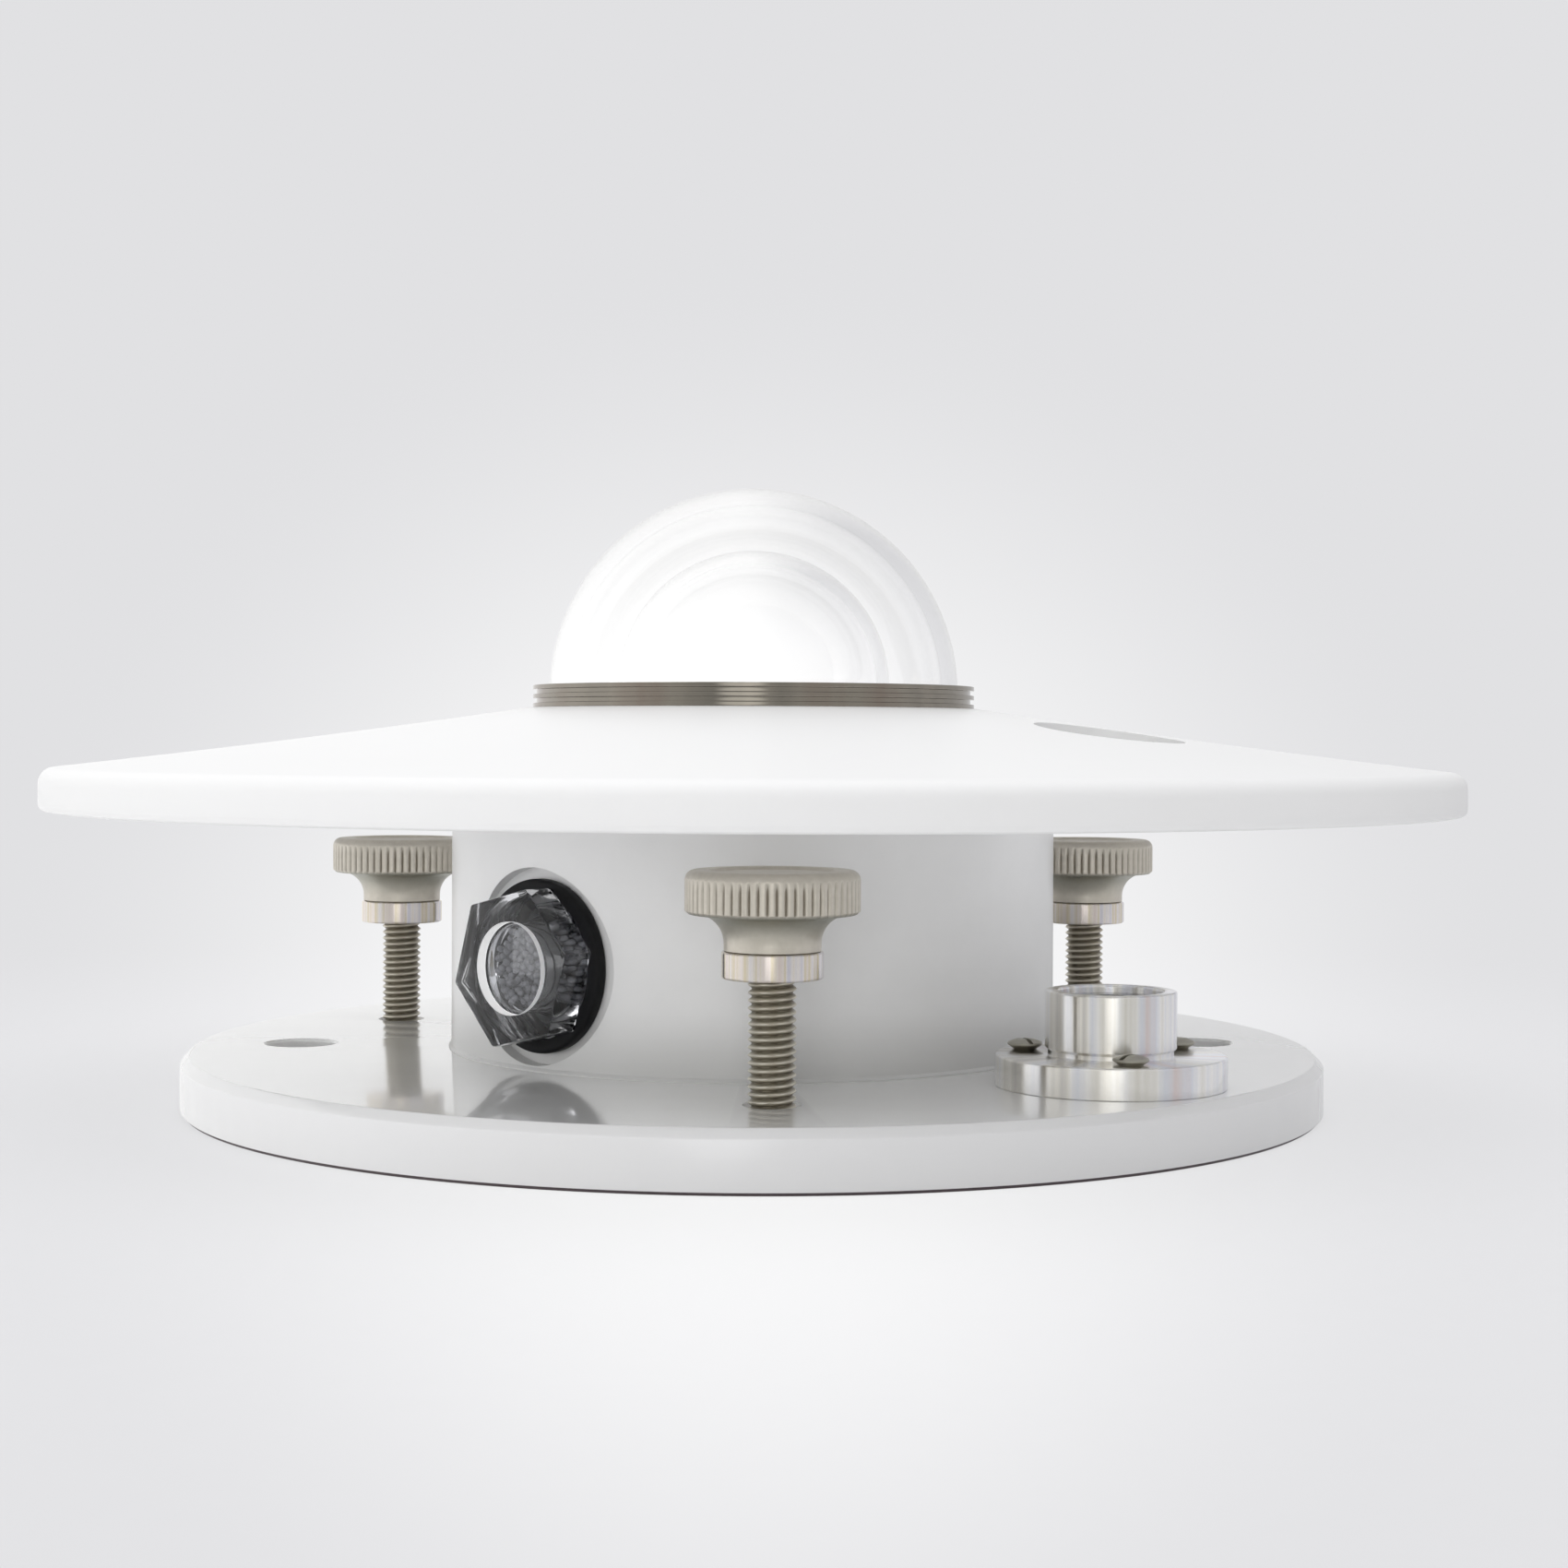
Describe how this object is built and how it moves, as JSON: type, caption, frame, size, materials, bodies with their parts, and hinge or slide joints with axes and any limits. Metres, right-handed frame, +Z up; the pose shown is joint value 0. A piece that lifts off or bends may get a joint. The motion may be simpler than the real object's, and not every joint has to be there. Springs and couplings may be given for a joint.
{
  "type": "pyranometer",
  "caption": "Double glass dome pyranometer with a saucer sun shade, levelling screws, bubble level and a screw-in drying cartridge.",
  "frame": {"origin": "centre of the base plate's underside", "axes": "+Z up through the domes, -Y towards the front levelling screw, mounting holes on the X axis"},
  "size_m": [0.169, 0.169, 0.0744],
  "materials": {
    "white_enamel": "gloss stoved enamel on aluminium",
    "white_plastic": "gloss moulded plastic",
    "turned_steel": "fine turned stainless steel",
    "turned_aluminium": "bright turned aluminium",
    "blasted_aluminium": "fine bead blasted aluminium",
    "threaded_steel": "dark oiled steel thread",
    "stainless_steel": "plain stainless steel",
    "optical_glass": "clear polished glass",
    "clear_acrylic": "clear polished acrylic",
    "black_rubber": "matt moulded rubber",
    "black_coating": "matt absorbing lacquer",
    "black_plastic": "matt moulded plastic",
    "plated_wire": "plated wire",
    "gold_plate": "gold plated pins",
    "brass": "turned brass",
    "nickel_plate": "satin nickel plate",
    "green_laminate": "printed board laminate",
    "green_plastic": "moulded plastic",
    "resistor_lacquer": "lacquer",
    "red_insulation": "wire insulation",
    "level_liquid": "pale yellow green spirit",
    "silica_gel": "silica gel beads",
    "white_nylon": "moulded nylon"
  },
  "bodies": {
    "instrument": {"base_plate": "white_enamel", "housing_seal": "black_rubber", "housing": "white_enamel", "housing_screws": "stainless_steel", "sun_shade": "white_plastic", "dome_ring": "turned_steel", "dome_seal": "black_rubber", "outer_dome": "optical_glass", "inner_dome": "optical_glass", "inner_dome_ring": "white_enamel", "sensor_block": "turned_aluminium", "sensor_screws": "stainless_steel", "thermopile": "plated_wire", "receiver_disc": "black_coating", "guard_plate": "white_enamel", "sensor_leads": "plated_wire", "terminal_board": "green_laminate", "board_standoffs": "brass", "board_screws": "stainless_steel", "terminal_block": "green_plastic", "trim_resistors": "resistor_lacquer", "output_leads": "red_insulation", "socket_shell": "nickel_plate", "socket_gasket": "black_rubber", "socket_insert": "black_plastic", "socket_pins": "gold_plate", "socket_screws": "stainless_steel", "level_housing": "turned_aluminium", "level_vial": "optical_glass", "level_liquid": "level_liquid", "level_screws": "stainless_steel"},
    "front_collar_ring": {"front_collar": "turned_aluminium"},
    "front_screw": {"front_knob": "blasted_aluminium", "front_stud": "threaded_steel"},
    "left_collar_ring": {"left_collar": "turned_aluminium"},
    "left_screw": {"left_knob": "blasted_aluminium", "left_stud": "threaded_steel"},
    "right_collar_ring": {"right_collar": "turned_aluminium"},
    "right_screw": {"right_knob": "blasted_aluminium", "right_stud": "threaded_steel"},
    "cartridge_washer": {"drying_washer": "black_rubber"},
    "cartridge": {"drying_plug": "clear_acrylic", "drying_gel": "silica_gel", "drying_cap": "white_nylon"}
  },
  "joints": [
    {"name": "front_screw_travel", "type": "slide", "parent": "instrument", "child": "front_collar_ring", "axis": [0, 0, 1], "range_m": [-0.0128, 0.003]},
    {"name": "front_screw_turn", "type": "hinge", "parent": "front_collar_ring", "child": "front_screw", "pos_m": [0, -0.0525, 0.0194], "axis": [0, 0, 1], "range_deg": [-5761, 1351]},
    {"name": "left_screw_travel", "type": "slide", "parent": "instrument", "child": "left_collar_ring", "axis": [0, 0, 1], "range_m": [-0.0128, 0.003]},
    {"name": "left_screw_turn", "type": "hinge", "parent": "left_collar_ring", "child": "left_screw", "pos_m": [-0.04547, 0.02625, 0.0194], "axis": [0, 0, 1], "range_deg": [-5761, 1351]},
    {"name": "right_screw_travel", "type": "slide", "parent": "instrument", "child": "right_collar_ring", "axis": [0, 0, 1], "range_m": [-0.0128, 0.003]},
    {"name": "right_screw_turn", "type": "hinge", "parent": "right_collar_ring", "child": "right_screw", "pos_m": [0.04547, 0.02625, 0.0194], "axis": [0, 0, 1], "range_deg": [-5761, 1351]},
    {"name": "cartridge_travel", "type": "slide", "parent": "instrument", "child": "cartridge_washer", "axis": [-0.6984, -0.7157, 0], "range_m": [0, 0.008]},
    {"name": "cartridge_turn", "type": "hinge", "parent": "cartridge_washer", "child": "cartridge", "pos_m": [-0.02445, -0.02505, 0.0182], "axis": [-0.6984, -0.7157, 0], "range_deg": [0, 1921]}
  ],
  "couplings": [
    {"joint": "front_screw_turn", "follows": "front_screw_travel", "rad_per_m": 7854},
    {"joint": "left_screw_turn", "follows": "left_screw_travel", "rad_per_m": 7854},
    {"joint": "right_screw_turn", "follows": "right_screw_travel", "rad_per_m": 7854},
    {"joint": "cartridge_turn", "follows": "cartridge_travel", "rad_per_m": 4188.8}
  ]
}
